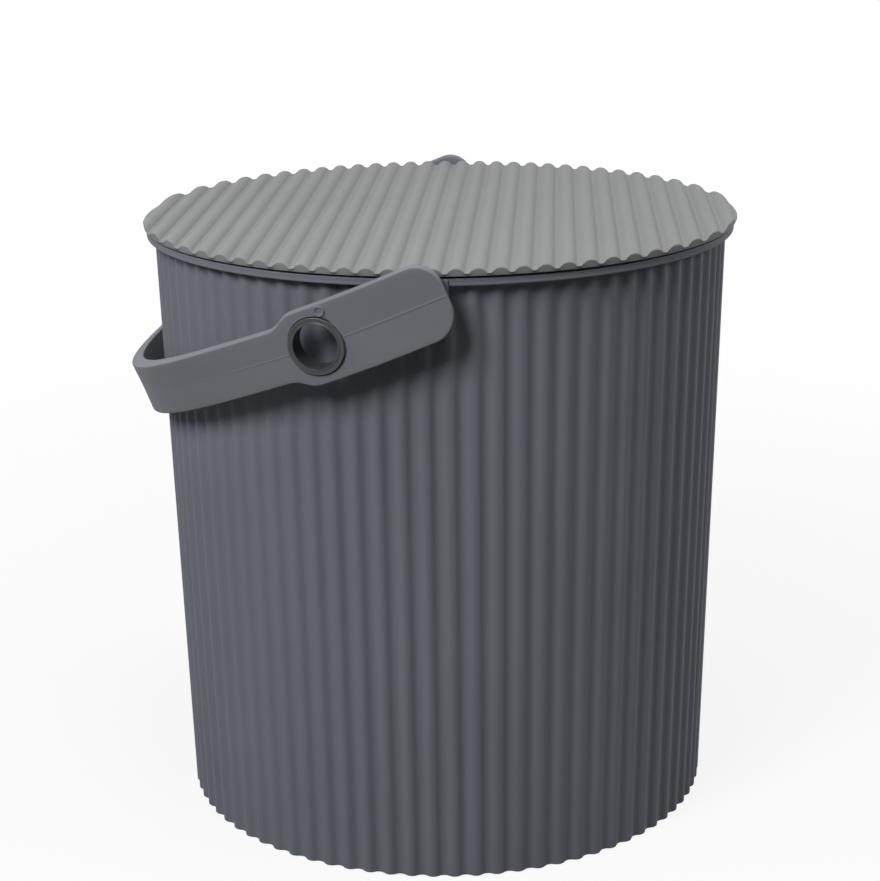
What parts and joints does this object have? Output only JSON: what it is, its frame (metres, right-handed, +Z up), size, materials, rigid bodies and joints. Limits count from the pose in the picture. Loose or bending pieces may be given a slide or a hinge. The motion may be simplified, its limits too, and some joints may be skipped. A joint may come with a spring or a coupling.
{
  "type": "lidded plastic bucket",
  "caption": "Ribbed round bucket with a ridged lift-off lid and a flat strap handle that swings in two ears and has an eyelet in each arm.",
  "frame": {"origin": "middle of the ring that the bucket stands on", "axes": "+Z up through the lid; Y along the lid's ridges and the handle's pivots, with the front of the picture at -Y; the handle hangs down on the -X side at rest"},
  "size_m": [0.2778, 0.285, 0.2768],
  "materials": {
    "body_plastic": "fine satin, dark grey",
    "lid_plastic": "fine satin, grey",
    "handle_plastic": "fine satin, grey",
    "eyelet_plastic": "smooth, half gloss, dark grey"
  },
  "bodies": {
    "bucket": {"bucket_body": "body_plastic"},
    "lid": {"lid": "lid_plastic"},
    "handle": {"handle": "handle_plastic", "eyelet_front": "eyelet_plastic", "eyelet_rear": "eyelet_plastic"}
  },
  "joints": [
    {"name": "handle_swing", "type": "hinge", "parent": "bucket", "child": "handle", "pos_m": [0, 0, 0.2613], "axis": [0, 1, 0], "range_deg": [0, 226]},
    {"name": "lid_lift", "type": "slide", "parent": "bucket", "child": "lid", "axis": [0, 0, 1], "range_m": [0, 0.3]}
  ]
}
